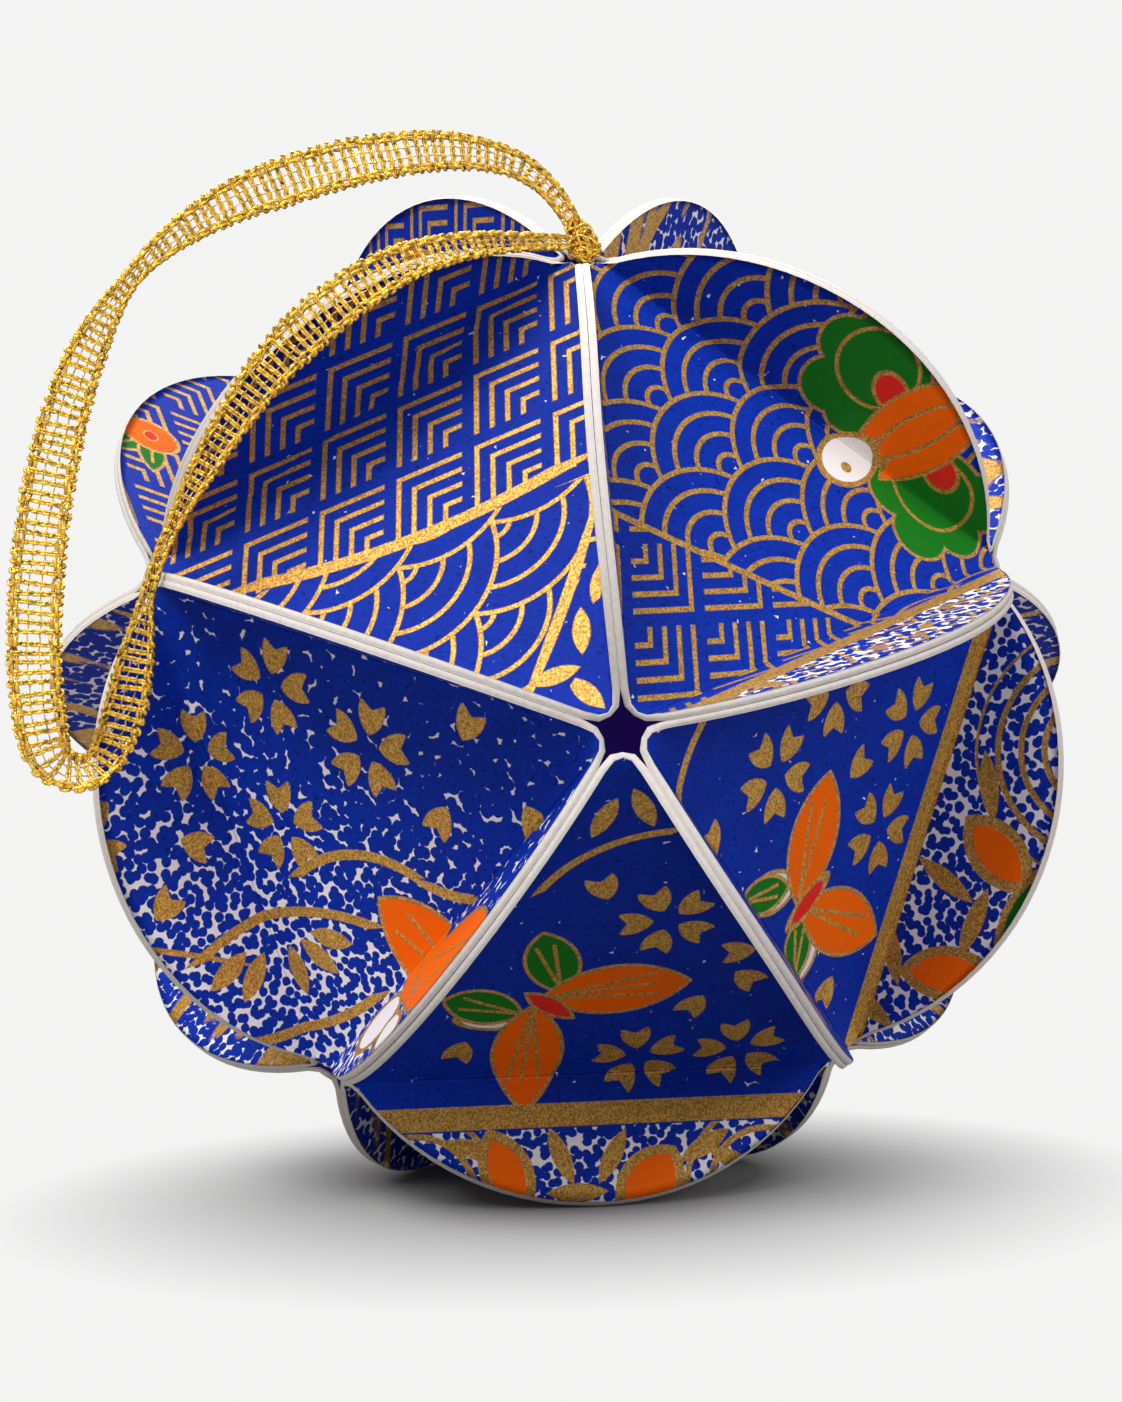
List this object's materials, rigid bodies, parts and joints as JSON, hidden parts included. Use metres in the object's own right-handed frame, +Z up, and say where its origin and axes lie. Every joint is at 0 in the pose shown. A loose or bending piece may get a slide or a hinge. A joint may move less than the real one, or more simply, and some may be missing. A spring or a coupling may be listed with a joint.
{
  "type": "folded paper ball ornament",
  "caption": "Ball of folded round cards glued by their upright flaps, in blue paper printed with gold, with a gold mesh ribbon loop to hang it by.",
  "frame": {"origin": "on the floor under the centre of the ball", "axes": "+Z up through the middle of the top and bottom faces, -Y towards the front, where the ribbon hangs to the left"},
  "size_m": [0.0998, 0.0966, 0.0937],
  "materials": {
    "printed_card": "matt blue paper with a gold metallic print on white card",
    "gold_ribbon": "open mesh of gold metallic thread"
  },
  "bodies": {
    "root": {"disc_top": "printed_card", "disc_upper_1": "printed_card", "disc_upper_2": "printed_card", "disc_upper_3": "printed_card", "disc_shoulder_1": "printed_card", "disc_shoulder_2": "printed_card", "disc_shoulder_3": "printed_card", "disc_shoulder_4": "printed_card", "disc_shoulder_5": "printed_card", "disc_shoulder_6": "printed_card", "disc_waist_1": "printed_card", "disc_waist_2": "printed_card", "disc_waist_3": "printed_card", "disc_waist_4": "printed_card", "disc_waist_5": "printed_card", "disc_waist_6": "printed_card", "disc_lower_1": "printed_card", "disc_lower_2": "printed_card", "disc_lower_3": "printed_card", "disc_bottom": "printed_card", "ribbon_knot": "gold_ribbon", "ribbon_loop": "gold_ribbon"}
  },
  "joints": []
}
